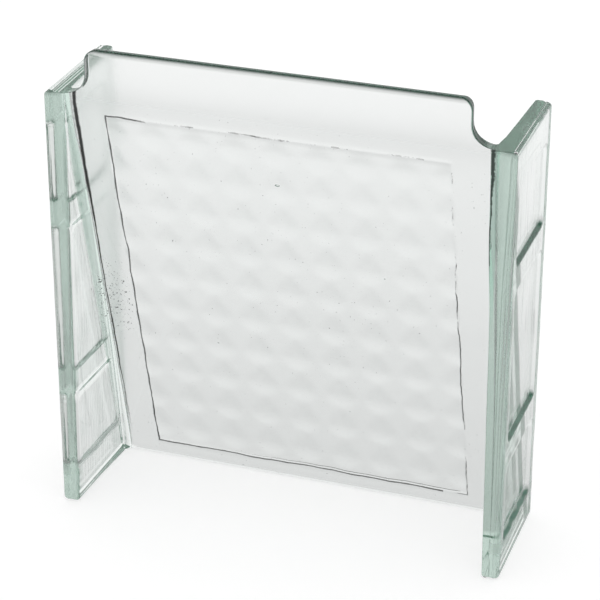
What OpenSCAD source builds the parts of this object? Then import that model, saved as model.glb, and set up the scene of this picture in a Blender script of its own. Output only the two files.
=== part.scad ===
// Ventilating glass block, pressed as one piece: two upright plates joined by a slanted pane.
// Millimetres, +Z up. The front is -Y, where the pane meets the plates at the top.

/* [Block] */
// width over the outer faces of the two plates
block_w = 200; // [160:1:240]
// height of the plates
plate_h = 196.5; // [180:0.5:220]
// depth of the plates, front to back
block_d = 58; // [50:1:72]
// rounding of the plates' outer edges
edge_r = 2; // [1:0.1:2.4]

/* [Plates] */
// plate thickness beside the pane
root_t = 9.6; // [8.8:0.1:12]
// plate thickness at the free edge farthest from the pane
rim_t = 7.5; // [6.4:0.1:8.6]
// radius in the corner between pane and plate
root_r = 2.8; // [2:0.1:5]

/* [Pane] */
// glass thickness of the slanted pane
pane_t = 6.5; // [5:0.1:8]
// how far below the plate tops the front of the pane turns upright
bend_drop = 4.5; // [3:0.1:8]

/* [Pressed pattern on the front of the pane] */
// width of the pattern field
field_w = 146; // [100:1:160]
// from the bend down to the upper edge of the field
field_top = 4.5; // [2:0.5:12]
// from the lower edge of the field to the foot of the pane
field_foot = 10; // [8:0.5:30]
// spacing of the bosses across the pane
boss_step_x = 17.8; // [17.5:0.1:24]
// spacing of the bosses down the pane
boss_step_l = 18.4; // [18.2:0.1:24]
// from the upper edge of the field to the first row of bosses
boss_first = 7.1; // [0:0.1:12]
// width of a boss across the pane, from corner to corner
boss_w = 17; // [10:0.1:17.3]
// length of a boss down the pane, from corner to corner
boss_l = 18; // [10:0.1:18]
// height of a boss
boss_h = 0.4; // [0.2:0.05:1]

/* [Upright lip] */
// how far the lip stands above the plate tops
lip_h = 19.5; // [16:0.1:26]
// glass thickness of the lip
lip_t = 5; // [4.8:0.1:7]
// distance from a plate's outer face to the end of the lip
lip_inset = 18.6; // [16:0.1:26]
// radius of the lip's upper corners
lip_corner_r = 5; // [3:0.1:8]
// hollow radius where the lip runs into the plate tops
lip_foot_r = 9.4; // [6:0.1:10]
// rounding along the lip's top edge
lip_edge_r = 1.2; // [0.6:0.1:2.3]

/* [Recesses in the outer faces] */
// depth of the recesses
recess_depth = 2; // [1:0.1:3]
// flat border in front of and behind a recess
recess_border = 7; // [5:0.1:10]
// flat border above the top and below the bottom recess
recess_end = 16; // [10:0.5:22]
// rib left between two recesses
recess_rib = 12; // [8:0.5:16]
// height of the middle recess
recess_mid_h = 68.5; // [50:0.5:80]
// corner radius of a recess
recess_r = 3; // [1.5:0.1:5]

/* [Hidden] */
$fn = 96;
slop = 1;
front_y = -block_d / 2;
back_y = block_d / 2;
bend_z = plate_h - bend_drop;
top_z = plate_h + lip_h;
// the pane runs from the front plane at the bend to the back plane at the bottom
reach = sqrt(block_d * block_d + bend_z * bend_z);
slope = acos(pane_t / reach) - atan2(bend_z, block_d);
// the plates' inner faces open away from the pane by this much per millimetre
draft = (root_t - rim_t) / (plate_h * sin(slope));
hollow_half = block_w / 2 - root_t;
// the hollows are cut with this much to spare past the block
spare = 20;
hollow_deep = plate_h * sin(slope) + spare;
hollow_long = top_z / cos(slope) + 3 * spare;
recess_d = block_d - 2 * recess_border;
recess_outer_h = (plate_h - 2 * recess_end - 2 * recess_rib - recess_mid_h) / 2;
recess_step = (recess_mid_h + recess_outer_h) / 2 + recess_rib;
lip_half = block_w / 2 - lip_inset;
field_l = bend_z / cos(slope) - field_top - field_foot;
// half the distance between opposite sides of a boss, and how far its sides turn from the pane's length
boss_half = boss_w * boss_l / sqrt(boss_w * boss_w + boss_l * boss_l) / 2;
boss_turn = atan2(boss_w, boss_l);
boss_side = floor(field_w / 2 / boss_step_x);
boss_rows = floor((field_l - boss_first) / boss_step_l) + 1;

// rectangle with true arcs in its corners, centred
module round_rect(w, h, r) {
    square([w - 2 * r, h], center = true);
    square([w, h - 2 * r], center = true);
    for (sx = [-1, 1])
        for (sy = [-1, 1])
            translate([sx * (w / 2 - r), sy * (h / 2 - r)])
                circle(r);
}

// the block before pressing out the hollows: every outer edge rounded
module envelope() {
    intersection() {
        linear_extrude(plate_h)
            round_rect(block_w, block_d, edge_r);
        translate([0, back_y + slop, plate_h / 2])
            rotate([90, 0, 0])
                linear_extrude(block_d + 2 * slop)
                    round_rect(block_w, plate_h, edge_r);
        translate([-block_w / 2 - slop, 0, plate_h / 2])
            rotate([90, 0, 90])
                linear_extrude(block_w + 2 * slop)
                    round_rect(block_d, plate_h, edge_r);
    }
}

// outline of the lip from the front: round shoulders, hollow feet down to the plate tops
module lip_outline() {
    difference() {
        translate([-lip_half, bend_z])
            square([2 * lip_half, top_z - bend_z]);
        for (s = [-1, 1])
            translate([s * lip_half, top_z])
                difference() {
                    square(2 * lip_corner_r, center = true);
                    translate([-s * lip_corner_r, -lip_corner_r])
                        circle(lip_corner_r);
                }
    }
    for (s = [-1, 1])
        difference() {
            translate([s * (lip_half + lip_foot_r / 2 - slop / 2), (bend_z + plate_h + lip_foot_r) / 2])
                square([lip_foot_r + slop, plate_h + lip_foot_r - bend_z], center = true);
            translate([s * (lip_half + lip_foot_r), plate_h + lip_foot_r])
                circle(lip_foot_r);
        }
}

// upright lip along the top of the pane
module lip() {
    intersection() {
        translate([0, front_y + lip_t, 0])
            rotate([90, 0, 0])
                linear_extrude(lip_t)
                    lip_outline();
        translate([-block_w / 2, front_y + lip_t / 2, top_z - plate_h / 2])
            rotate([90, 0, 90])
                linear_extrude(block_w)
                    round_rect(lip_t, plate_h, lip_edge_r);
    }
}

// section of a hollow square to the pane: pane face at y = 0, sides opening outwards
module hollow_section() {
    lean = sqrt(1 + draft * draft);
    cx = hollow_half + root_r * draft - root_r * lean;
    tx = cx + root_r / lean;
    ty = root_r - root_r * draft / lean;
    far = hollow_half + hollow_deep * draft;
    polygon([
        [-cx, 0],
        [cx, 0],
        [tx, ty],
        [far, hollow_deep],
        [-far, hollow_deep],
        [-tx, ty]
    ]);
    for (s = [-1, 1])
        translate([s * cx, root_r])
            circle(root_r);
}

// places things on the front of the pane: y leads out of the glass, z runs down the pane from the bend
module on_pane_front() {
    translate([0, front_y, bend_z])
        rotate([180 + slope, 0, 0])
            children();
}

// hollow in front of the pane, open to the front and below
module front_hollow() {
    on_pane_front()
        translate([0, 0, -spare])
            linear_extrude(hollow_long)
                hollow_section();
}

// long low roof over two opposite sides of a boss, with straight walls down into the pane
module boss_roof(turn) {
    rotate([90, 0, turn])
        linear_extrude(boss_w + boss_l, center = true)
            polygon([
                [-boss_half, -slop],
                [boss_half, -slop],
                [boss_half, 0],
                [0, boss_h],
                [-boss_half, 0]
            ]);
}

// low four-sided point with a diamond outline, where two such roofs cross
module boss() {
    intersection() {
        boss_roof(boss_turn);
        boss_roof(-boss_turn);
    }
}

// rows of bosses, cut off straight at the edges of the field
module pattern() {
    on_pane_front()
        intersection() {
            for (row = [0 : boss_rows - 1])
                for (column = [-boss_side : boss_side])
                    translate([column * boss_step_x, 0, field_top + boss_first + row * boss_step_l])
                        rotate([-90, 0, 0])
                            boss();
            translate([-field_w / 2, -2 * slop, field_top])
                cube([field_w, boss_h + 4 * slop, field_l]);
        }
}

// hollow behind the pane, open to the back and above; the lip's back stays upright
module back_hollow() {
    intersection() {
        translate([0, back_y, 0])
            rotate([slope, 0, 0])
                translate([0, 0, -spare])
                    linear_extrude(hollow_long)
                        hollow_section();
        translate([-block_w / 2, front_y + lip_t, -slop])
            cube([block_w, 2 * block_d, top_z + 2 * slop]);
    }
}

// three shallow recesses in one outer face
module recesses() {
    for (row = [-1, 0, 1])
        translate([0, 0, plate_h / 2 + row * recess_step])
            rotate([90, 0, 90])
                linear_extrude(recess_depth + slop)
                    round_rect(recess_d, row == 0 ? recess_mid_h : recess_outer_h, recess_r);
}

module glass_block() {
    color([0.78, 0.88, 0.83, 0.45]) {
        difference() {
            union() {
                envelope();
                lip();
            }
            front_hollow();
            back_hollow();
            translate([block_w / 2 - recess_depth, 0, 0])
                recesses();
            mirror([1, 0, 0])
                translate([block_w / 2 - recess_depth, 0, 0])
                    recesses();
        }
        pattern();
    }
}

glass_block();
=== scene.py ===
import math
import bpy
import bmesh
from mathutils import Matrix, Vector, kdtree, noise


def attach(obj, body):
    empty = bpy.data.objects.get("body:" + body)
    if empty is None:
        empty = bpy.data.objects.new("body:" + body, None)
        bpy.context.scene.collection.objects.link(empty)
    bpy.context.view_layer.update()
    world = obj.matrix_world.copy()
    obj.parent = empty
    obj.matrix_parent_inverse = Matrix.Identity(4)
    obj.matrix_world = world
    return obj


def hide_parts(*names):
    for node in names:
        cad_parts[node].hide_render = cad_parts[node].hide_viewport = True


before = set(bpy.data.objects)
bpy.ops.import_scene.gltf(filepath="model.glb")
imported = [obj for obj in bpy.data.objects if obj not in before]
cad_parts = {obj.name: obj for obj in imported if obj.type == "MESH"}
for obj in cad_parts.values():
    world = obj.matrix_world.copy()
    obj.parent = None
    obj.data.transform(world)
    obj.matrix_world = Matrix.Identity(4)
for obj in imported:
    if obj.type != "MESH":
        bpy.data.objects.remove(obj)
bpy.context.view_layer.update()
MM = 0.001

# sizes of the block in millimetres, as in the part's source
WIDE, DEEP, TALL, TOP = 200.0, 58.0, 196.5, 216.0
ROOT_T, RIM_T = 9.6, 7.5             # plate thickness beside the pane and at its free edge
PANE_T, LIP_T = 6.5, 5.0
BEND_Z = 192.0                       # where the pane turns upright
LIP_HALF, FOOT_R, CORNER_R = 81.4, 9.4, 5.0
RECESS_ROWS = ((16.0, 52.0), (64.0, 132.5), (144.5, 180.5))
RECESS_BORDER, RECESS_DEEP, RECESS_R = 7.0, 2.0, 3.0
HALF = WIDE / 2
FRONT, BACK = -DEEP / 2, DEEP / 2

# soft forms that pressing leaves, too small for the part's source
SEAM = 0.35                          # height of the mould seam round the edge of a plate
SEAM_IN = 2.1                        # from the outer face to that seam
SEAM_IN_RIGHT, SEAM_SLANT = 2.6, 1.6  # the same on the right plate's front, and how far it slants outwards
SLANT_FROM, SLANT_OVER = 135.0, 60.0  # height at which that slant starts, and over which it grows
SEAM_FOOT, SEAM_DIP = 0.35, 0.02     # width of the seam's outer side, and how far its foot lies in the face
SEAM_CLEAR = 0.45                    # the outer rounding stays this far from the seam
ROOT_R_LEFT, ROOT_R_RIGHT, ROOT_R_BACK = 4.2, 1.0, 1.5  # hollow corners between pane and plates
RIGHT_SWELL = 1.1                    # the right plate's front swells inwards by this much near the top
SWELL_FROM, SWELL_OVER = 120.0, 40.0
OUTER_PART = 96.0                    # farther from the middle than this is the outer part of a plate
INNER_R, INNER_R_RIGHT, OUTER_R, END_R = 1.6, 0.6, 2.0, 2.0
LEFT_ROUNDER = 1.7                   # the left plate's outer top corner is rounder by this factor
LIP_EDGE_R, LIP_END_R = 1.9, 0.8     # roundings along the lip's top and down the front of its ends
LIP_LEAN = math.tan(math.radians(9))  # the lip's ends lean inwards towards the back
RECESS_WALL = 1.4                    # width of the slope into a recess
RECESS_WORN, RECESS_WORN_STEP = 1.3, 7.0  # the lowest end of the recesses wavers: how far, and how often
# waves that the mould and the cooling leave: their length and height
WAVES_BROAD, WAVES_FINE, WAVES_EDGE = (34.0, 0.07), (9.0, 0.012), (15.0, 0.09)
EDGE_FROM, EDGE_OVER = 89.0, 4.0     # the last kind comes in from here outwards, on the plates
# bubbles in the pane: across, down from the bend, below the front, half their width
BUBBLES = ((-1.3, 28.9, 2.6, 1.1), (41.5, 71.0, 3.4, 0.4), (-37.0, 122.0, 2.2, 0.45),
           (21.0, 151.0, 3.0, 0.35))
BUBBLE_FLAT = (1.0, 0.6, 0.5)

# pattern field on the front of the pane
FIELD_HALF, FIELD_TOP, FIELD_FOOT = 73.0, 4.5, 188.5
BOSS_X, BOSS_S, BOSS_FIRST, BOSS_ROWS = 17.8, 18.4, 11.6, 10
BOSS_HALF, BOSS_UP, BOSS_DOWN, BOSS_H = 7.4, 10.2, 7.6, 0.42
BOSS_POINT, BOSS_ROUND = 1.4, 1.7    # how full a boss is towards its point, and towards its sides
BOSS_FADE = 6.0                      # the bosses rise over this length below the field's upper edge
GROOVE, GROOVE_HALF = 0.10, 0.12     # depth and half width of the line round the field

# dirt, roughness and tint of the glass, and painted shade on its edges
BACK_ROUGH = 0.28                    # roughness of the pane's back
OUTER_ROUGH, WORN_ROUGH = 0.10, 0.3  # of the outer faces, and of the worn lowest end of their recesses
FILM_ROUGH, DIRT_ROUGH = 0.07, 0.8   # of the film on the plate fronts, and of dirt
# the lip's ends are partly shut to light, so that the painted shade on them stays dark
END_ROUGH, END_SHADE_SHUT = 0.2, 0.55      # of the lip's ends, and how far they are shut to light
GLASS_IOR = 1.52
SOAK_TINT, SOAK = "#59bc99", 7.2     # tint that the glass gives to light, and how strongly, per metre
# the root tint is a painted mint shade on the right plate's front beside the pane, for the long way light
# takes through the glass there
FILM_TINT, ROOT_SHADE_TINT, DIRT_TINT = "#d2d6d3", "#a7cabb", "#262b28"
# painted dark green shade for the long way light takes along the glass, at marked edges and at the lip's ends
EDGE_SHADE_TINT, END_SHADE_TINT = "#3f6d5a", "#1f4234"  # of the marked edges, and of the lip's ends
# sizes of the noises that place the dirt and the relief
WANDER_MM, BREAK_MM, GRAIN_MM, CLOUD_MM, PEEL_MM = 13, 24, 0.9, 40, 5
STREAK_MM = (3, 1.5, 30)
OUTER_FACE = (97.0, 98.0)            # from the middle: between these the outer faces begin
FILM_FROM, WORN_FROM = (91.0, 91.6), (95.0, 96.0)
WORN_REACH = 2.5                     # the worn end of the lowest recess reaches this far up and down
RIM_LINE = 90.0                      # dark line on the right plate's front, from the middle
CREASE_X = 86.2                      # dirty crease left of the pane, from the middle
PLATE_FRONT = FRONT + 1.6            # what lies before this is on the front of a plate or of the lip

# brightness of the room that the glass shows
ROOM_FRONT = 0.75                    # before the block, against that behind it
ROOM_SIDE = 0.75                     # far to the sides
ROOM_MIRROR = 0.2                    # what the glass mirrors from above
ROOM_PLAIN = 0.8                     # plain level that lights the floor and that the camera sees
# the sweep seen through the glass, from straight down to straight up
SWEEP = ((-1.0, 0.05), (-0.84, 0.35), (-0.68, 0.74), (-0.52, 0.74), (-0.455, 0.875), (-0.39, 0.96),
         (-0.3, 1.0), (1.0, 1.0))
# directions between which the room changes: front to back, level to downwards, middle to side, level to up
TURN_BACK, TURN_DOWN, TURN_SIDE, TURN_UP = (-0.3, 0.75), (-0.15, -0.4), (0.5, 0.85), (0.46, 0.6)
FLOOR_R, FLOOR_TINT, FLOOR_GLOW = 6, "#bcbcbc", 0.66

# the camera: degrees, then millimetres, then focal length and picture in pixels and sensor in millimetres
VIEW_AZ, VIEW_EL, VIEW_ROLL = 18.903, 26.92, 0.092
VIEW_MID_Z, VIEW_FAR, VIEW_RIGHT, VIEW_UP = 98.0, 999.86, 1.57, 4.45
FOCAL_PX, PICTURE_PX, SENSOR = 2349.83, 600, 36

NEAR_LEAN = math.radians(14.8)       # the pane's lean, close enough to turn its thickness by
slope = math.atan((DEEP - 2 * SEAM - PANE_T / math.cos(NEAR_LEAN)) / BEND_Z)
TAN, COS, SIN = math.tan(slope), math.cos(slope), math.sin(slope)
DRAFT = (ROOT_T - RIM_T) / (TALL * SIN)


def linear(hex_code, alpha=1.0):
    """sRGB hex to the linear values that shader sockets take"""
    parts = [int(hex_code[i:i + 2], 16) / 255 for i in (1, 3, 5)]
    return (*[c / 12.92 if c <= 0.04045 else ((c + 0.055) / 1.055) ** 2.4 for c in parts], alpha)


def add(tree, kind, links=None, **settings):
    """one shader node: its settings, and values or links for its sockets"""
    node = tree.nodes.new(kind)
    for name, value in settings.items():
        setattr(node, name, value)
    for socket, value in (links or {}).items():
        if isinstance(value, bpy.types.Node):
            value = value.outputs[0]
        if isinstance(value, bpy.types.NodeSocket):
            tree.links.new(value, node.inputs[socket])
        else:
            node.inputs[socket].default_value = value
    return node


def new_material(name):
    mat = bpy.data.materials.new(name)
    mat.use_nodes = True
    mat.node_tree.nodes.clear()
    return mat, mat.node_tree


def ease(t):
    t = min(1.0, max(0.0, t))
    return t * t * (3 - 2 * t)


def soft_rise(u, width=2.2):
    """0 well below 0 and u well above it, with a soft bend between"""
    return 0.5 * (u + math.sqrt(u * u + width * width))


def spread(lo, hi, n):
    return [lo + (hi - lo) * i / n for i in range(n + 1)]


def quarter(n):
    """angles of a quarter turn in n steps"""
    return [math.radians(90 * i / n) for i in range(n + 1)]


def pane_front(z):
    return FRONT + SEAM + soft_rise((BEND_Z - z) * TAN)


def pane_back(z):
    lip_back = FRONT + SEAM + LIP_T
    return lip_back + soft_rise(BACK - SEAM - z * TAN - lip_back)


# columns across the pane: even, with close ones at the edge of the pattern field
PANE_EDGE = 84.0
PANE_X = spread(0, 4 * BOSS_X, 48) + [FIELD_HALF + d for d in (-0.9, -0.3, 0.0, 0.3)]
PANE_X += spread(FIELD_HALF + 1.2, PANE_EDGE, 6)
# columns on an outer face behind its rounding: close at the edge of the recesses
OUTER_Y = [0.5, 2.5, 3.7, 4.2, 4.65, 5.1, 5.6, 6.6, 8.2, 11.0, 14.0, 18.0, 22.5]
# columns on a plate's inner face from pane to edge, on its narrow front or back, and on the pane beside it
INNER_SHARES = (0.04, 0.15, 0.3, 0.45, 0.6, 0.75, 0.9, 1.0)
EDGE_SHARES = (0.08, 0.5, 0.86)
MARGIN_SHARES = (0.35, 0.7, 0.9)


def corner(root_t, root_r, edge_r, depth, sign, pane_y, edge_y):
    """half a plate's inner outline at one level: hollow corner at the pane, drafted face, rounded free edge;
    sign is -1 towards the front and 1 towards the back"""
    # where the plate has little depth, the two roundings share it
    hollow = min(root_r, 0.55 * depth)
    edge = min(edge_r, 0.35 * depth)
    root_x = HALF - root_t
    run = depth - hollow - edge
    far_x = root_x + DRAFT * COS * (depth - edge)
    near_x = root_x + DRAFT * COS * hollow
    pts = []
    for t in quarter(6):
        x = root_x - hollow + (near_x - root_x + hollow) * math.sin(t)
        pts.append((x, pane_y + sign * hollow * (1 - math.cos(t))))
    for t in INNER_SHARES:
        pts.append((near_x + (far_x - near_x) * t, pane_y + sign * (hollow + run * t)))
    for t in quarter(4)[1:]:
        pts.append((far_x + edge * (1 - math.cos(t)), edge_y - sign * edge * (1 - math.sin(t))))
    return pts


def half_outline(z, side):
    """one half of the block's outline at level z, from the middle of the pane's front to that of its back;
    side is 1 for the right half and -1 for the left, which is given as its mirror image"""
    yf, yb = pane_front(z), pane_back(z)
    front_face, back_face = FRONT + SEAM, BACK - SEAM
    root_t, root_r, edge_r, seam_in = ROOT_T, ROOT_R_LEFT, INNER_R, SEAM_IN
    if side > 0:
        # the right plate's front swells, and its seam runs slanting to the outer top corner
        root_t = ROOT_T + RIGHT_SWELL * ease((z - SWELL_FROM) / SWELL_OVER)
        root_r, edge_r = ROOT_R_RIGHT, INNER_R_RIGHT
        seam_in = SEAM_IN_RIGHT - SEAM_SLANT * ease((z - SLANT_FROM) / SLANT_OVER)
    before = corner(root_t, root_r, edge_r, yf - front_face, -1, yf, front_face)
    behind = corner(ROOT_T, ROOT_R_BACK, INNER_R, back_face - yb, 1, yb, back_face)
    pts = [(x, yf) for x in PANE_X]
    pts += [(PANE_EDGE + (before[0][0] - PANE_EDGE) * t, yf) for t in MARGIN_SHARES]
    pts += before
    inner_x, seam_x = before[-1][0], HALF - seam_in
    r = min(OUTER_R, seam_in - SEAM_CLEAR)
    pts += [(inner_x + (seam_x - inner_x) * t, front_face) for t in EDGE_SHARES]
    pts += [(seam_x, FRONT), (seam_x + SEAM_FOOT, front_face + SEAM_DIP)]
    pts += [(HALF - r + r * math.sin(t), front_face + r * (1 - math.cos(t))) for t in quarter(4)]
    flank = [(HALF, front_face + OUTER_R + y) for y in OUTER_Y]
    pts += flank + [(HALF, 0.0)] + [(x, -y) for x, y in reversed(flank)]
    inner_x, seam_x = behind[-1][0], HALF - SEAM_IN
    r = min(OUTER_R, SEAM_IN - SEAM_CLEAR)
    pts += [(HALF - r + r * math.cos(t), back_face - r * (1 - math.sin(t))) for t in quarter(4)]
    pts += [(seam_x + SEAM_FOOT, back_face - SEAM_DIP), (seam_x, BACK)]
    pts += [(inner_x + (seam_x - inner_x) * t, back_face) for t in reversed(EDGE_SHARES)]
    pts += behind[::-1]
    pts += [(PANE_EDGE + (behind[0][0] - PANE_EDGE) * t, yb) for t in reversed(MARGIN_SHARES)]
    pts += [(x, yb) for x in reversed(PANE_X)]
    return pts


def outline(z):
    right, left = half_outline(z, 1), half_outline(z, -1)
    return right + [(-x, y) for x, y in reversed(left[1:-1])]


HALF_COUNT = len(half_outline(TALL / 2, 1))
PANE_END = len(PANE_X) + len(MARGIN_SHARES)      # last point of the pane's front in half an outline
BACK_START = HALF_COUNT - 1 - PANE_END           # first point of its back
LOW_Z, HIGH_Z = SEAM + END_R, TALL - SEAM - END_R  # between the rounded ends
END_TURNS = (22, 44, 66, 90)                     # degrees of the outlines in those ends
BOSS_CUTS = 12                                   # outlines for each row of bosses
LIP_END_POINTS = 5                               # points in the section of a lip's end
WELD = 2e-3                                      # points closer than this become one


def levels():
    """heights of the outlines: even, closer at the recess walls and at the ends of the pattern field"""
    close = [z + d for row in RECESS_ROWS for z in row for d in (-1.1, -0.45, 0.0, 0.45, 1.1)]
    close += [BEND_Z - s * COS + d for s in (FIELD_TOP, FIELD_FOOT) for d in (-0.4, 0.0, 0.4)]
    step = BOSS_S * COS / BOSS_CUTS
    steps = range(-BOSS_CUTS * (BOSS_ROWS + 1), BOSS_CUTS)
    even = [BEND_Z - BOSS_FIRST * COS + step * k for k in steps]
    even = [z for z in even if LOW_Z + 0.5 < z < HIGH_Z - 0.5 and all(abs(z - c) > 0.6 for c in close)]
    return sorted(set(even + close) | {LOW_Z, HIGH_Z})


def inward(pts):
    """unit normals of a closed outline, towards the glass"""
    out = []
    # the narrow seam ridge is left out, so that it doesn't turn them
    pts = [(x, min(max(y, FRONT + SEAM), BACK - SEAM)) for x, y in pts]
    for i in range(len(pts)):
        (ax, ay), (bx, by) = pts[i - 1], pts[(i + 1) % len(pts)]
        tx, ty = bx - ax, by - ay
        n = math.hypot(tx, ty) or 1.0
        out.append((-ty / n, tx / n))
    return out


def foot_ring(deg):
    """one outline in the rounded foot: the pane is rounded in front and square behind"""
    plate_x, fade, inner_share = 88, 3, 0.7
    t = math.radians(deg)
    z = LOW_Z - END_R * math.sin(t)
    base = outline(z)
    d = END_R * (1 - math.cos(t))
    ring = []
    for (x, y), (nx, ny) in zip(base, inward(base)):
        ahead = y < BACK - PANE_T / 2 and ny > 0
        share = ease((abs(x) - plate_x) / fade) * (1.0 if abs(x) > OUTER_PART else inner_share)
        hold = d * (1.0 if ahead else share)
        ring.append((x + nx * hold, y + ny * hold, z))
    return ring


def top_ring(deg):
    """one outline in the rounded plate tops: the rounding fades out where the lip rises from them"""
    front_band, lip_x, lip_fade = 2.5, 90.6, 1.2
    behind_lip, behind_fade, inner_share = 3.2, 5, 0.3
    t = math.radians(deg)
    z = HIGH_Z + END_R * math.sin(t)
    base = outline(z)
    yb = pane_back(z)
    ring = []
    for (x, y), (nx, ny) in zip(base, inward(base)):
        if y < FRONT + front_band:
            hold = ease((abs(x) - lip_x) / lip_fade)
        else:
            hold = ease((y - yb - behind_lip) / behind_fade) if abs(x) < OUTER_PART else 1.0
        d = END_R * (1 - math.cos(t)) * hold * (1.0 if abs(x) > OUTER_PART else inner_share)
        ring.append((x + nx * d * (LEFT_ROUNDER if x < -OUTER_PART else 1.0), y + ny * d, z))
    return ring


def rings():
    """every outline from the foot to the plate tops, with rounded ends; each is a list of x, y, z"""
    out = [foot_ring(deg) for deg in reversed(END_TURNS)]
    out += [[(x, y, z) for x, y in outline(z)] for z in levels()]
    return out + [top_ring(deg) for deg in END_TURNS]


def recess(side, y, z):
    """how deep the outer face lies below its border at y, z"""
    end_shade = 0.0
    for lo, hi in RECESS_ROWS:
        if lo == RECESS_ROWS[0][0]:
            # the mould was worn here: the lowest end wavers
            lo += RECESS_WORN * noise.noise(Vector((y / RECESS_WORN_STEP, 5.0 * side, 0.0)))
        qx = abs(y) - (DEEP / 2 - RECESS_BORDER - RECESS_R)
        qz = abs(z - (lo + hi) / 2) - ((hi - lo) / 2 - RECESS_R)
        gap = math.hypot(max(qx, 0), max(qz, 0)) + min(max(qx, qz), 0) - RECESS_R
        end_shade = max(end_shade, RECESS_DEEP * ease(0.5 - gap / RECESS_WALL))
    return end_shade


def boss(x, s):
    """height of the bosses on the pattern field: low drops with a pointed upper and a round lower end"""
    if abs(x) > FIELD_HALF or not FIELD_TOP < s < FIELD_FOOT:
        return 0.0
    u = abs(x - BOSS_X * round(x / BOSS_X)) / BOSS_HALF
    above = math.floor((s - BOSS_FIRST) / BOSS_S)
    highest = 0.0
    for row in (above, above + 1):
        v = s - BOSS_FIRST - BOSS_S * row
        narrow = 1 + v / BOSS_UP
        if not 0 <= row < BOSS_ROWS or narrow <= 0:
            continue
        if v < 0:
            rise = (1 - (1 - narrow) ** BOSS_POINT) * (1 - (u / narrow) ** BOSS_ROUND)
        else:
            rise = 1 - math.hypot(u, v / BOSS_DOWN) ** BOSS_ROUND
        highest = max(highest, rise)
    return BOSS_H * highest * ease((s - FIELD_TOP) / BOSS_FADE)


def groove(x, s):
    """depth of the shallow line that the plunger's insert leaves round the field"""
    half_s = (FIELD_FOOT - FIELD_TOP) / 2
    past = max(abs(x) - FIELD_HALF, abs(s - FIELD_TOP - half_s) - half_s)
    return GROOVE if abs(past) < GROOVE_HALF else 0.0


def waviness(p):
    """slow unevenness of the faces in millimetres; the shifts keep the three kinds of waves apart"""
    broad = noise.noise(p / WAVES_BROAD[0] + Vector((3.1, 7.7, 1.3)))
    fine = noise.noise(p / WAVES_FINE[0] + Vector((11.0, 2.0, 5.0)))
    edge = noise.noise(p / WAVES_EDGE[0] + Vector((6.0, 1.5, 9.2))) - 1
    edge *= ease((abs(p.x) - EDGE_FROM) / EDGE_OVER)
    return WAVES_BROAD[1] * broad + WAVES_FINE[1] * fine + WAVES_EDGE[1] * edge


def shape_faces(rows):
    """press the bosses into the front of the pane and the recesses into the outer faces"""
    for row in rows:
        n = len(row)
        for i, (x, y, z) in enumerate(row):
            k = min(i, (2 * HALF_COUNT - 2 - i) % n)
            if k <= PANE_END:
                s = (BEND_Z - z) / COS
                h = boss(x, s) - groove(x, s)
                row[i] = (x, y - h * COS, z - h * SIN)
            elif abs(x) > HALF - 1e-6:
                side = math.copysign(1, x)
                row[i] = (x - side * recess(side, y, z), y, z)


def lip_steps(z0):
    """levels of the lip with its half width and how much its top edges are rounded in"""
    steps = []
    for deg in (0, 8, 18, 30, 42, 54, 66, 78, 90):
        t = math.radians(deg)
        steps.append((z0 + FOOT_R * (1 - math.cos(t)), LIP_HALF + FOOT_R * (1 - math.sin(t)), 0.0))
    steps += [(z, LIP_HALF, 0.0) for z in spread(z0 + FOOT_R, TOP - CORNER_R, 4)[1:]]
    upper = [(TOP - CORNER_R + d, 0.0) for d in (0.9, 1.8, 2.7)]
    for deg in (0, 22, 45, 68, 90):
        t = math.radians(deg)
        upper.append((TOP - LIP_EDGE_R * (1 - math.sin(t)), LIP_EDGE_R * (1 - math.cos(t))))
    for z, pinch in upper:
        reach = math.sqrt(max(0.0, CORNER_R ** 2 - (z - TOP + CORNER_R) ** 2))
        steps.append((z, LIP_HALF - CORNER_R + reach, pinch))
    return steps


def lip_side(front, back):
    """one half of every outline of the lip, standing on the front and back of the pane's top"""
    z0 = front[0][2]
    rows = []
    for n, (z, w, pinch) in enumerate(lip_steps(z0)):
        yf, yb = pane_front(z), pane_back(z)
        mid, thick = (yf + yb) / 2, (yb - yf) / 2 - pinch
        lean = 2 * thick * LIP_LEAN
        r = min(LIP_END_R, 0.8 * thick)
        # the form of the ends comes in over the lip's lowest millimetres
        up = ease((z - z0) / 4)
        wf = w - r * up
        wb = w - lean - 0.2 * r * up
        if n == 0:
            wf, wb = front[-1][0], back[0][0]
        row = [(x * wf / front[-1][0], mid - thick, z) for x, _, _ in front]
        # the end's section, from its rounded front edge to its back
        end = ((w - 0.3 * r, -thick + 0.3 * r), (w - lean * r / thick / 2, -thick + r), (w - lean / 2, 0.0),
               (w - 0.85 * lean, 0.7 * thick), (w - lean, thick - 0.2 * r))
        for k, (x, y) in enumerate(end):
            share = (k + 1) / (LIP_END_POINTS + 1)
            flat_x, flat_y = wf + (wb - wf) * share, -thick + 2 * thick * share
            row.append((flat_x + (x - flat_x) * up, mid + flat_y + (y - flat_y) * up, z))
        row += [(x * wb / back[0][0], mid + thick, z) for x, _, _ in back]
        rows.append(row)
    rows[0][:len(front)] = front
    rows[0][-len(back):] = back
    return rows


def lip_rows(base):
    """outlines of the upright lip, starting from the pane's part of the plates' top outline"""
    sides = []
    for sign in (1, -1):
        half = [(sign * x, y, z) for x, y, z in (base[sign * i] for i in range(HALF_COUNT))]
        sides.append(lip_side(half[:PANE_END + 1], half[BACK_START:]))
    out = [right + [(-x, y, z) for x, y, z in reversed(left[1:-1])] for right, left in zip(*sides)]
    # the flat top: the last outline closes on its own middle line
    mid = (pane_front(TOP) + pane_back(TOP)) / 2
    for share in (0.12, 1.0):
        out.append([(x, y + (mid - y) * share, z) for x, y, z in out[-1]])
    return out


def wrap(bm, rows):
    """a sheet of faces laid round a stack of closed outlines"""
    around, high = len(rows[0]), len(rows) - 1
    grid = bmesh.ops.create_grid(bm, x_segments=around, y_segments=high, size=1)
    for v in grid["verts"]:
        i = round((v.co.x + 1) / 2 * around) % around
        j = round((v.co.y + 1) / 2 * high)
        v.co = rows[j][i]


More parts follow.
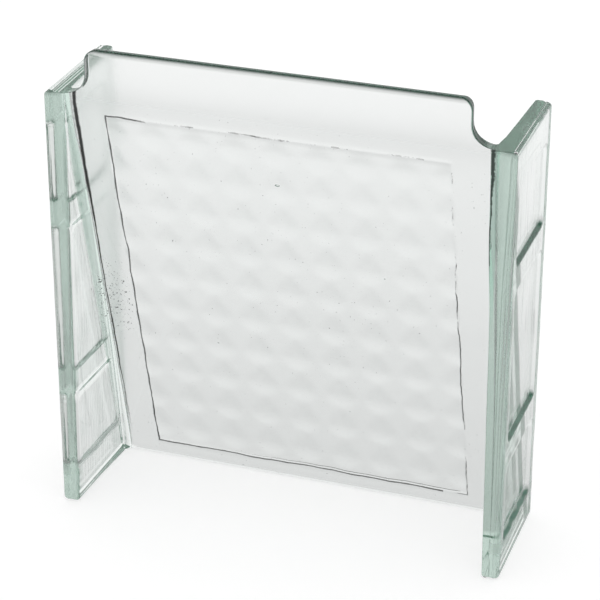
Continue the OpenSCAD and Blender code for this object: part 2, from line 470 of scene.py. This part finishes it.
def at(bm, places):
    """the mesh's own vertices nearest to some places, in order and once each"""
    tree = kdtree.KDTree(len(bm.verts))
    for v in bm.verts:
        tree.insert(v.co, v.index)
    tree.balance()
    bm.verts.ensure_lookup_table()
    out = []
    for p in places:
        v = bm.verts[tree.find(p)[1]]
        if v not in out:
            out.append(v)
    return out


def close_ends(bm, foot, top, lip_foot):
    """flat faces over the foot of the pane, the feet of the plates and their tops"""
    strip = [foot[i] for i in range(-PANE_END, PANE_END + 1)]
    strip += [foot[i] for i in range(BACK_START, len(foot) - BACK_START + 1)]
    caps = [bm.faces.new(at(bm, strip))]
    for sign in (1, -1):
        caps.append(bm.faces.new(at(bm, [foot[sign * i] for i in range(PANE_END, BACK_START + 1)])))
        edge = [top[sign * i] for i in range(PANE_END, BACK_START + 1)]
        edge += [lip_foot[sign * i] for i in range(PANE_END + LIP_END_POINTS, PANE_END, -1)]
        caps.append(bm.faces.new(at(bm, edge)))
    bmesh.ops.recalc_face_normals(bm, faces=bm.faces)
    for f in bm.faces:
        f.smooth = True
    for f in caps:
        f.smooth = False


def raise_seams(bm):
    """the mould seam, running on across the flat plate ends"""
    inner_side, outer_side, short = 0.55, 0.4, 0.9
    for side in (-1, 1):
        for inset, lift in ((SEAM_IN + inner_side, 0.0), (SEAM_IN, SEAM), (SEAM_IN - outer_side, 0.0)):
            flat = [f for f in bm.faces if not f.smooth]
            geom = flat + list({e for f in flat for e in f.edges}) + list({v for f in flat for v in f.verts})
            cut = bmesh.ops.bisect_plane(bm, geom=geom, dist=1e-5, plane_co=(side * (HALF - inset), 0, 0),
                                         plane_no=(1, 0, 0))
            for v in cut["geom_cut"]:
                if isinstance(v, bmesh.types.BMVert) and lift and abs(v.co.y) < DEEP / 2 - short:
                    v.co.z += lift if v.co.z > TALL / 2 else -lift


def add_bubbles(bm):
    for x, s, depth, size in BUBBLES:
        place = Vector((x, FRONT + SEAM + s * SIN + depth * COS, BEND_Z - s * COS + depth * SIN))
        shape = Matrix.Translation(place) @ Matrix.Diagonal((*[size * k for k in BUBBLE_FLAT], 1))
        ball = bmesh.ops.create_icosphere(bm, subdivisions=2, radius=1, matrix=shape)
        skin = list({f for v in ball["verts"] for f in v.link_faces})
        for f in skin:
            f.smooth = True
        # a bubble is a hole in the glass, so its faces look inwards
        bmesh.ops.reverse_faces(bm, faces=skin)


def build_block():
    body = rings()
    shape_faces(body)
    lip = lip_rows(body[-1])
    bm = bmesh.new()
    bm.verts.layers.float.new("painted_shade")
    wrap(bm, body)
    wrap(bm, lip)
    bmesh.ops.remove_doubles(bm, verts=bm.verts, dist=WELD)
    bm.verts.index_update()
    close_ends(bm, body[0], body[-1], lip[0])
    raise_seams(bm)
    add_bubbles(bm)
    bm.normal_update()
    return bm


def mark_painted_shade(bm):
    """mark where one looks along the glass and dark green shade is painted: the lower end walls of the
    recesses and the edges of the lip with 1, and the lip's ends with up to 2"""
    painted_shade = bm.verts.layers.float["painted_shade"]
    lip_from, recess_from, recess_to, recess_x = TALL + 0.3, 10, 187, HALF - RECESS_DEEP - 0.1
    for v in bm.verts:
        if v.co.z > lip_from:
            v[painted_shade] = ease((0.9 - abs(v.normal.y)) / 0.4) * (1 + ease(2 * abs(v.normal.x)))
        elif abs(v.co.x) > recess_x and recess_from < v.co.z < recess_to:
            v[painted_shade] = ease((v.normal.z - 0.2) / 0.4)


def finish_mesh(bm):
    mark_painted_shade(bm)
    lo, hi = Vector((-HALF, FRONT, 0)), Vector((HALF, BACK, TOP))
    moves = [(v, v.co + v.normal * waviness(v.co)) for v in bm.verts]
    for v, p in moves:
        v.co = [min(max(p[k], lo[k]), hi[k]) for k in range(3)]
    bmesh.ops.scale(bm, verts=bm.verts, vec=(MM, MM, MM))
    mesh = bpy.data.meshes.new("pressed_block")
    bm.to_mesh(mesh)
    bm.free()
    obj = bpy.data.objects.new("pressed_block", mesh)
    bpy.context.scene.collection.objects.link(obj)
    return obj


def field_line(t, x, far_x, down, wander, breaks):
    """dirty line round the pattern field: whole on the left and below, broken on the right and mostly gone at
    the top; along the bottom a second, finer line runs just above it"""
    sway = 2.2                       # the line wanders within this width
    core, fade = 0.18, 0.55          # half the width of the line, and where it has faded out
    apart = 1.6                      # from the first line to the second
    right_from, right_to = 62.0, 72.0
    # down the pane: its top edge, the broken stretches on the right and its bottom edge
    top_edge, upper_part, lower_part, bottom_edge = (9.0, 7.0), (80.0, 62.0), (135.0, 152.0), (178.0, 182.0)
    # across: past the upper left corner, and the ends of the second line
    past_left, second_from, second_to = (-63.0, -54.0), (-40.0, 10.0), (70.5, 68.0)
    half_s = (FIELD_FOOT - FIELD_TOP) / 2
    off_x = add(t, "ShaderNodeMath", {0: far_x, 1: FIELD_HALF}, operation="SUBTRACT")
    off_s = add(t, "ShaderNodeMath", {0: down, 1: FIELD_TOP + half_s}, operation="SUBTRACT")
    off_s = add(t, "ShaderNodeMath", {0: off_s}, operation="ABSOLUTE")
    off_s = add(t, "ShaderNodeMath", {0: off_s, 1: half_s}, operation="SUBTRACT")
    edge = add(t, "ShaderNodeMath", {0: off_x, 1: off_s}, operation="MAXIMUM")
    edge = add(t, "ShaderNodeMath", {0: wander, 1: sway, 2: edge}, operation="MULTIPLY_ADD")
    edge = add(t, "ShaderNodeMath", {0: edge, 1: -sway / 2}, operation="ADD")
    line = add(t, "ShaderNodeMath", {0: edge}, operation="ABSOLUTE")
    thin = add(t, "ShaderNodeMapRange", {0: x, 1: right_from, 2: right_to, 3: 1.0, 4: 0.6})
    line = add(t, "ShaderNodeMath", {0: line, 1: thin}, operation="DIVIDE")
    line = add(t, "ShaderNodeMapRange", {0: line, 1: core, 2: fade, 3: 1.0, 4: 0.0},
               interpolation_type="SMOOTHSTEP")
    # the line breaks where the noise lies below this level
    gone = add(t, "ShaderNodeMapRange", {0: x, 1: right_from, 2: right_to, 3: 0.32, 4: 0.35})
    top = add(t, "ShaderNodeMapRange", {0: down, 1: top_edge[0], 2: top_edge[1]})
    past_corner = add(t, "ShaderNodeMapRange", {0: x, 1: past_left[0], 2: past_left[1], 3: 0.0, 4: 0.25})
    gone = add(t, "ShaderNodeMath", {0: top, 1: past_corner, 2: gone}, operation="MULTIPLY_ADD")
    upper = add(t, "ShaderNodeMapRange", {0: down, 1: upper_part[0], 2: upper_part[1], 3: 0.0, 4: 0.20})
    lower = add(t, "ShaderNodeMapRange", {0: down, 1: lower_part[0], 2: lower_part[1], 3: 0.0, 4: 0.20})
    ends = add(t, "ShaderNodeMath", {0: upper, 1: lower}, operation="MAXIMUM")
    on_right = add(t, "ShaderNodeMath", {0: x, 1: right_from}, operation="GREATER_THAN")
    gone = add(t, "ShaderNodeMath", {0: ends, 1: on_right, 2: gone}, operation="MULTIPLY_ADD")
    kept = add(t, "ShaderNodeMath", {0: breaks, 1: gone}, operation="SUBTRACT")
    kept = add(t, "ShaderNodeMapRange", {0: kept, 1: -0.04, 2: 0.06, 3: 0.0, 4: 0.85})
    line = add(t, "ShaderNodeMath", {0: line, 1: kept}, operation="MULTIPLY")
    second = add(t, "ShaderNodeMath", {0: edge, 1: apart}, operation="ADD")
    second = add(t, "ShaderNodeMath", {0: second}, operation="ABSOLUTE")
    second = add(t, "ShaderNodeMapRange", {0: second, 1: 0.08, 2: 0.34, 3: 0.7, 4: 0.0},
                 interpolation_type="SMOOTHSTEP")
    low = add(t, "ShaderNodeMapRange", {0: down, 1: bottom_edge[0], 2: bottom_edge[1]})
    along = add(t, "ShaderNodeMapRange", {0: x, 1: second_from[0], 2: second_from[1]})
    short = add(t, "ShaderNodeMapRange", {0: x, 1: second_to[0], 2: second_to[1]})
    for mask in (low, along, short):
        second = add(t, "ShaderNodeMath", {0: second, 1: mask}, operation="MULTIPLY")
    return add(t, "ShaderNodeMath", {0: line, 1: second}, operation="MAXIMUM")


def crease_dirt(t, x, z, wander, breaks):
    """dirt packed into the left corner of the pane, thickest at the top and gone at the foot"""
    sway = 1.4
    wider, foot_fade = (110.0, 194.0), (12.0, 45.0)
    crease = add(t, "ShaderNodeMath", {0: wander, 1: sway, 2: x}, operation="MULTIPLY_ADD")
    crease = add(t, "ShaderNodeMath", {0: crease, 1: CREASE_X - sway / 2}, operation="ADD")
    crease = add(t, "ShaderNodeMath", {0: crease}, operation="ABSOLUTE")
    width = add(t, "ShaderNodeMapRange", {0: z, 1: wider[0], 2: wider[1], 3: 0.35, 4: 1.25})
    uneven = add(t, "ShaderNodeMapRange", {0: breaks, 1: 0.3, 2: 0.6, 3: 0.5, 4: 1.3})
    width = add(t, "ShaderNodeMath", {0: width, 1: uneven}, operation="MULTIPLY")
    crease = add(t, "ShaderNodeMath", {0: crease, 1: width}, operation="DIVIDE")
    crease = add(t, "ShaderNodeMapRange", {0: crease, 1: 0.4, 2: 1.0, 3: 0.95, 4: 0.0},
                 interpolation_type="SMOOTHSTEP")
    foot = add(t, "ShaderNodeMapRange", {0: z, 1: foot_fade[0], 2: foot_fade[1]})
    return add(t, "ShaderNodeMath", {0: crease, 1: foot}, operation="MULTIPLY")


def dirt_specks(t, x, down, grains, clouds):
    """grains of dirt: a patch in the left margin, half way down, and a few strays"""
    patch_edge, patch_mid, patch_reach = (-74.0, -77.0), 105.0, (30.0, 10.0)
    patch_x = add(t, "ShaderNodeMapRange", {0: x, 1: patch_edge[0], 2: patch_edge[1]})
    patch_s = add(t, "ShaderNodeMath", {0: down, 1: patch_mid}, operation="SUBTRACT")
    patch_s = add(t, "ShaderNodeMath", {0: patch_s}, operation="ABSOLUTE")
    patch_s = add(t, "ShaderNodeMapRange", {0: patch_s, 1: patch_reach[0], 2: patch_reach[1]})
    patch = add(t, "ShaderNodeMath", {0: patch_x, 1: patch_s}, operation="MULTIPLY")
    # a grain shows where its noise rises above this level, which is lower in the patch
    level = add(t, "ShaderNodeMath", {0: patch, 1: -0.12, 2: 0.80}, operation="MULTIPLY_ADD")
    level = add(t, "ShaderNodeMath", {0: clouds, 1: -0.12, 2: level}, operation="MULTIPLY_ADD")
    specks = add(t, "ShaderNodeMath", {0: grains, 1: level}, operation="SUBTRACT")
    return add(t, "ShaderNodeMapRange", {0: specks, 1: 0.0, 2: 0.03, 3: 0.0, 4: 0.8})


def rim_dirt(t, x, y, z, wander, grains):
    """dark line along the inner edge of the right plate's front, crumbly at the top and fading downwards"""
    sway = 2.0
    wider, fade = (172.0, 192.0), (100.0, 126.0)
    rim = add(t, "ShaderNodeMath", {0: wander, 1: sway, 2: x}, operation="MULTIPLY_ADD")
    rim = add(t, "ShaderNodeMath", {0: rim, 1: RIM_LINE + sway / 2}, operation="SUBTRACT")
    rim = add(t, "ShaderNodeMath", {0: rim}, operation="ABSOLUTE")
    width = add(t, "ShaderNodeMapRange", {0: z, 1: wider[0], 2: wider[1], 3: 0.5, 4: 1.5})
    crumble = add(t, "ShaderNodeMapRange", {0: grains, 1: 0.3, 2: 0.7, 3: 0.4, 4: 1.3})
    width = add(t, "ShaderNodeMath", {0: width, 1: crumble}, operation="MULTIPLY")
    rim = add(t, "ShaderNodeMath", {0: rim, 1: width}, operation="DIVIDE")
    rim = add(t, "ShaderNodeMapRange", {0: rim, 1: 0.45, 2: 1.0, 3: 0.9, 4: 0.0},
              interpolation_type="SMOOTHSTEP")
    high = add(t, "ShaderNodeMapRange", {0: z, 1: fade[0], 2: fade[1]})
    at_front = add(t, "ShaderNodeMath", {0: y, 1: PLATE_FRONT}, operation="LESS_THAN")
    for mask in (high, at_front):
        rim = add(t, "ShaderNodeMath", {0: rim, 1: mask}, operation="MULTIPLY")
    return rim


def smears(t, x, outer, streak, clouds):
    """thin upright smears on the outer faces, most of them on the right one"""
    smear = add(t, "ShaderNodeMapRange", {0: streak, 1: 0.55, 2: 0.75, 3: 0.0, 4: 0.3})
    patchy = add(t, "ShaderNodeMapRange", {0: clouds, 1: 0.42, 2: 0.6})
    on_right = add(t, "ShaderNodeMapRange", {0: x, 1: OUTER_FACE[0], 2: OUTER_FACE[1], 3: 0.15, 4: 1.0})
    for mask in (patchy, on_right, outer):
        smear = add(t, "ShaderNodeMath", {0: smear, 1: mask}, operation="MULTIPLY")
    return smear


def rough_back(t, y, z, far_x, behind):
    """the back of the pane and of the lip, left slightly rough by the mould; the edges stay clear"""
    past, fully = 0.6, 0.7           # shares of the glass's thickness
    top_clear, foot_clear, ends_clear = (1.4, 1.8), (0.8, 1.6), (93.0, 90.0)
    lip_front = FRONT + SEAM
    on_lip = add(t, "ShaderNodeMapRange", {0: y, 1: lip_front + past * LIP_T, 2: lip_front + fully * LIP_T})
    on_pane = add(t, "ShaderNodeMapRange", {0: behind, 1: past * PANE_T, 2: fully * PANE_T})
    top = add(t, "ShaderNodeMapRange", {0: z, 1: TOP - top_clear[0], 2: TOP - top_clear[1]})
    foot = add(t, "ShaderNodeMapRange", {0: z, 1: foot_clear[0], 2: foot_clear[1]})
    ends = add(t, "ShaderNodeMapRange", {0: far_x, 1: ends_clear[0], 2: ends_clear[1]})
    smoother = add(t, "ShaderNodeMapRange", {0: z, 1: BEND_Z, 2: BEND_Z + 6, 3: 1.0, 4: 0.9})
    back = on_lip
    for mask in (on_pane, top, foot, ends, smoother):
        back = add(t, "ShaderNodeMath", {0: back, 1: mask}, operation="MULTIPLY")
    return back


def right_root_shade(t, x, z, at_front):
    """strip of the right plate's front beside the pane, where the glass is thickest; its painted mint shade
    stands for the long way light takes through it
    """
    root = at_front
    for value, none, full in ((x, 88.9, 89.3), (x, 93.0, 92.4), (z, 115.0, 140.0)):
        mask = add(t, "ShaderNodeMapRange", {0: value, 1: none, 2: full})
        root = add(t, "ShaderNodeMath", {0: root, 1: mask}, operation="MULTIPLY")
    return root


def pressed_glass():
    """old soda-lime glass, pressed in an iron mould: clear and faintly green, darker green along its length,
    partly by painted shade on marked edges, with a painted mint shade beside the pane; a smooth front, a
    slightly rough back and outer faces, and dirt in the creases"""
    mat, t = new_material("pressed_soda_lime_glass")
    where = add(t, "ShaderNodeTexCoord")
    mm = add(t, "ShaderNodeVectorMath", {0: where.outputs["Object"], "Scale": 1 / MM}, operation="SCALE")
    x, y, z = add(t, "ShaderNodeSeparateXYZ", {0: mm}).outputs
    far_x = add(t, "ShaderNodeMath", {0: x}, operation="ABSOLUTE")
    # distance down the pane from its bend, and depth below the pane's front plane
    down = add(t, "ShaderNodeMath", {0: z, 1: -1 / COS, 2: BEND_Z / COS}, operation="MULTIPLY_ADD")
    behind = add(t, "ShaderNodeMath", {0: y, 1: COS, 2: -(FRONT + SEAM) * COS}, operation="MULTIPLY_ADD")
    behind = add(t, "ShaderNodeMath", {0: down, 1: -SIN * COS, 2: behind}, operation="MULTIPLY_ADD")
    on_front = add(t, "ShaderNodeMath", {0: behind, 1: 0.0, 2: 2.0}, operation="COMPARE")
    # slow wander of the lines, breaks along them, grains of dirt and cloudy patches
    wander = add(t, "ShaderNodeTexNoise", {"Vector": mm, "Scale": 1 / WANDER_MM, "Detail": 3.0})
    breaks = add(t, "ShaderNodeTexNoise", {
        "Vector": mm, "Scale": 1 / BREAK_MM, "Detail": 6.0, "Roughness": 0.7})
    grains = add(t, "ShaderNodeTexNoise", {"Vector": mm, "Scale": 1 / GRAIN_MM, "Detail": 2.0})
    clouds = add(t, "ShaderNodeTexNoise", {"Vector": mm, "Scale": 1 / CLOUD_MM, "Detail": 2.0})
    outer = add(t, "ShaderNodeMapRange", {0: far_x, 1: OUTER_FACE[0], 2: OUTER_FACE[1]})
    streak = add(t, "ShaderNodeMapping", {0: mm, 3: [1 / size for size in STREAK_MM]})
    streak = add(t, "ShaderNodeTexNoise", {"Vector": streak, "Scale": 1.0, "Detail": 4.0})

    # dirt lies on the front of the pane, on one edge and on the outer faces
    dirt = field_line(t, x, far_x, down, wander, breaks)
    for more in (crease_dirt(t, x, z, wander, breaks), dirt_specks(t, x, down, grains, clouds)):
        dirt = add(t, "ShaderNodeMath", {0: dirt, 1: more}, operation="MAXIMUM")
    dirt = add(t, "ShaderNodeMath", {0: dirt, 1: on_front}, operation="MULTIPLY")
    for more in (rim_dirt(t, x, y, z, wander, grains), smears(t, x, outer, streak, clouds)):
        dirt = add(t, "ShaderNodeMath", {0: dirt, 1: more}, operation="MAXIMUM")

    # the outer faces, bedded in mortar joints, are rougher than the rest
    peel = add(t, "ShaderNodeTexNoise", {"Vector": mm, "Scale": 1 / PEEL_MM, "Detail": 2.0})
    relief = add(t, "ShaderNodeMix", {0: outer, 2: peel, 3: streak})
    depth = add(t, "ShaderNodeMapRange", {0: outer, 3: 0.04, 4: 0.12})
    bump = add(t, "ShaderNodeBump", {"Height": relief, "Strength": depth, "Distance": 0.4 * MM})

    # a thin film dulls the fronts of the plates, and dark green shade is painted on marked edges for the long
    # way light takes through the glass there
    at_front = add(t, "ShaderNodeMapRange", {0: y, 1: PLATE_FRONT, 2: PLATE_FRONT - 0.6})
    film = add(t, "ShaderNodeMapRange", {0: far_x, 1: FILM_FROM[0], 2: FILM_FROM[1]})
    film = add(t, "ShaderNodeMath", {0: film, 1: at_front}, operation="MULTIPLY")
    painted_shade = add(t, "ShaderNodeAttribute", attribute_name="painted_shade").outputs["Fac"]
    end_shade = add(t, "ShaderNodeMapRange", {0: painted_shade, 1: 1.0, 2: 2.0})

    ledge = add(t, "ShaderNodeMath", {0: z, 1: RECESS_ROWS[0][0], 2: WORN_REACH}, operation="COMPARE")
    worn = add(t, "ShaderNodeMapRange", {0: far_x, 1: WORN_FROM[0], 2: WORN_FROM[1], 3: 0.0, 4: WORN_ROUGH})
    rough = add(t, "ShaderNodeMath", {0: ledge, 1: worn}, operation="MULTIPLY")
    back = rough_back(t, y, z, far_x, behind)
    for mask, amount in ((outer, OUTER_ROUGH), (back, BACK_ROUGH), (dirt, DIRT_ROUGH), (film, FILM_ROUGH),
                         (end_shade, END_ROUGH)):
        rough = add(t, "ShaderNodeMath", {0: mask, 1: amount, 2: rough}, operation="MULTIPLY_ADD")

    # colour: the plate fronts' film, painted shade on marked edges and the lip's ends, painted mint shade
    # beside the pane, then dirt
    colour = linear("#ffffff")
    root = right_root_shade(t, x, z, at_front)
    for mask, tint in ((film, FILM_TINT), (painted_shade, EDGE_SHADE_TINT), (end_shade, END_SHADE_TINT), (root, ROOT_SHADE_TINT),
                       (dirt, DIRT_TINT)):
        colour = add(t, "ShaderNodeMix", {0: mask, 6: colour, 7: linear(tint)}, data_type="RGBA").outputs[2]
    # light through the glass is shut where the lip's ends carry painted shade, and where there is dirt
    shade_and_dirt_shut = add(t, "ShaderNodeMath", {0: end_shade, 1: END_SHADE_SHUT}, operation="MULTIPLY")
    shade_and_dirt_shut = add(t, "ShaderNodeMath", {0: shade_and_dirt_shut, 1: dirt}, operation="MAXIMUM")
    clear = add(t, "ShaderNodeMath", {0: 1.0, 1: shade_and_dirt_shut}, operation="SUBTRACT")
    glass = add(t, "ShaderNodeBsdfPrincipled", {
        "Base Color": colour, "Roughness": rough, "IOR": GLASS_IOR, "Transmission Weight": clear,
        "Normal": bump})
    soak = add(t, "ShaderNodeVolumeAbsorption", {"Color": linear(SOAK_TINT), "Density": SOAK})
    add(t, "ShaderNodeOutputMaterial", {"Surface": glass, "Volume": soak})
    return mat


def place_camera():
    az, el, roll = (math.radians(a) for a in (VIEW_AZ, VIEW_EL, VIEW_ROLL))
    back = Vector((math.sin(az) * math.cos(el), -math.cos(az) * math.cos(el), math.sin(el)))
    right = (-back).cross(Vector((0, 0, 1))).normalized()
    up = right.cross(-back)
    right, up = math.cos(roll) * right + math.sin(roll) * up, -math.sin(roll) * right + math.cos(roll) * up
    where = Vector((0, 0, VIEW_MID_Z)) + back * VIEW_FAR + right * VIEW_RIGHT + up * VIEW_UP
    data = bpy.data.cameras.new("photo_view")
    data.lens = SENSOR * FOCAL_PX / PICTURE_PX
    data.sensor_width = SENSOR
    data.clip_start = 0.01
    cam = bpy.data.objects.new("photo_view", data)
    cam.matrix_world = Matrix.Translation(where * MM) @ Matrix((right, up, back)).transposed().to_4x4()
    bpy.context.scene.collection.objects.link(cam)
    bpy.context.scene.camera = cam


def light_room():
    """even light; the glass shows a pale sweep behind the block that darkens downwards, and a darker room
    before it and to its sides"""
    world = bpy.data.worlds.new("studio")
    bpy.context.scene.world = world
    world.use_nodes = True
    t = world.node_tree
    t.nodes.clear()
    where = add(t, "ShaderNodeTexCoord")
    x, y, z = add(t, "ShaderNodeSeparateXYZ", {0: where.outputs["Generated"]}).outputs
    height = add(t, "ShaderNodeMapRange", {0: z, 1: -1.0, 2: 1.0})
    sweep = add(t, "ShaderNodeValToRGB", {0: height})
    while len(sweep.color_ramp.elements) < len(SWEEP):
        sweep.color_ramp.elements.new(0.5)
    for stop, (up, level) in zip(sweep.color_ramp.elements, SWEEP):
        stop.position = (up + 1) / 2
        stop.color = (level, level, level, 1)
    room = add(t, "ShaderNodeMapRange", {0: y, 1: TURN_BACK[0], 2: TURN_BACK[1], 3: ROOM_FRONT, 4: 1.0},
               interpolation_type="SMOOTHSTEP")
    # downwards the white table runs on before the block too
    below = add(t, "ShaderNodeMapRange", {0: z, 1: TURN_DOWN[0], 2: TURN_DOWN[1]})
    room = add(t, "ShaderNodeMix", {0: below, 2: room, 3: 1.0})
    room = add(t, "ShaderNodeMath", {0: sweep, 1: room}, operation="MULTIPLY")
    # the white sweep is not wide, so the glass meets a darker room far to either side
    aside = add(t, "ShaderNodeMath", {0: x}, operation="ABSOLUTE")
    aside = add(t, "ShaderNodeMapRange", {0: aside, 1: TURN_SIDE[0], 2: TURN_SIDE[1], 3: 1.0, 4: ROOM_SIDE},
                interpolation_type="SMOOTHSTEP")
    room = add(t, "ShaderNodeMath", {0: room, 1: aside}, operation="MULTIPLY")
    # what the glass mirrors from above is much dimmer than what is seen through it
    rays = add(t, "ShaderNodeLightPath").outputs
    dim = add(t, "ShaderNodeMapRange", {0: z, 1: TURN_UP[0], 2: TURN_UP[1], 3: 1.0, 4: ROOM_MIRROR})
    mirrored = add(t, "ShaderNodeMath", {0: room, 1: dim}, operation="MULTIPLY")
    room = add(t, "ShaderNodeMix", {0: rays["Is Transmission Ray"], 2: mirrored, 3: room})
    plain = add(t, "ShaderNodeMath", {0: rays["Is Camera Ray"], 1: rays["Is Diffuse Ray"]},
                operation="MAXIMUM")
    level = add(t, "ShaderNodeMix", {0: plain, 2: room, 3: ROOM_PLAIN})
    sky = add(t, "ShaderNodeBackground", {"Color": linear("#ffffff"), "Strength": level})
    add(t, "ShaderNodeOutputWorld", {"Surface": sky})


def white_paper():
    """matt white paper, evenly lit: the camera sees it white with the block's shadow, and the glass sees the
    room through it"""
    mat, t = new_material("white_paper")
    paper = add(t, "ShaderNodeBsdfDiffuse", {"Color": linear(FLOOR_TINT)})
    glow = add(t, "ShaderNodeEmission", {"Color": linear("#ffffff"), "Strength": FLOOR_GLOW})
    both = add(t, "ShaderNodeAddShader", {0: paper, 1: glow})
    rays = add(t, "ShaderNodeLightPath").outputs
    seen = add(t, "ShaderNodeMixShader", {0: rays["Is Camera Ray"], 1: paper, 2: both})
    inside = add(t, "ShaderNodeMath", {0: rays["Is Transmission Ray"], 1: rays["Is Glossy Ray"]},
                 operation="MAXIMUM")
    clear = add(t, "ShaderNodeBsdfTransparent")
    pick = add(t, "ShaderNodeMixShader", {0: inside, 1: seen, 2: clear})
    add(t, "ShaderNodeOutputMaterial", {"Surface": pick})
    return mat


def lay_floor():
    bm = bmesh.new()
    bmesh.ops.create_circle(bm, cap_ends=True, segments=64, radius=FLOOR_R)
    mesh = bpy.data.meshes.new("floor")
    bm.to_mesh(mesh)
    bm.free()
    mesh.materials.append(white_paper())
    floor = bpy.data.objects.new("floor", mesh)
    bpy.context.scene.collection.objects.link(floor)


scene = bpy.context.scene
scene.view_settings.view_transform = "Standard"
# a ray can cross many faces of clear glass before it leaves
scene.cycles.max_bounces = 32
scene.cycles.transmission_bounces = 32
scene.cycles.glossy_bounces = 32
block = finish_mesh(build_block())
block.data.materials.append(pressed_glass())
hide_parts("glass_block")
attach(block, "root")
place_camera()
light_room()
lay_floor()
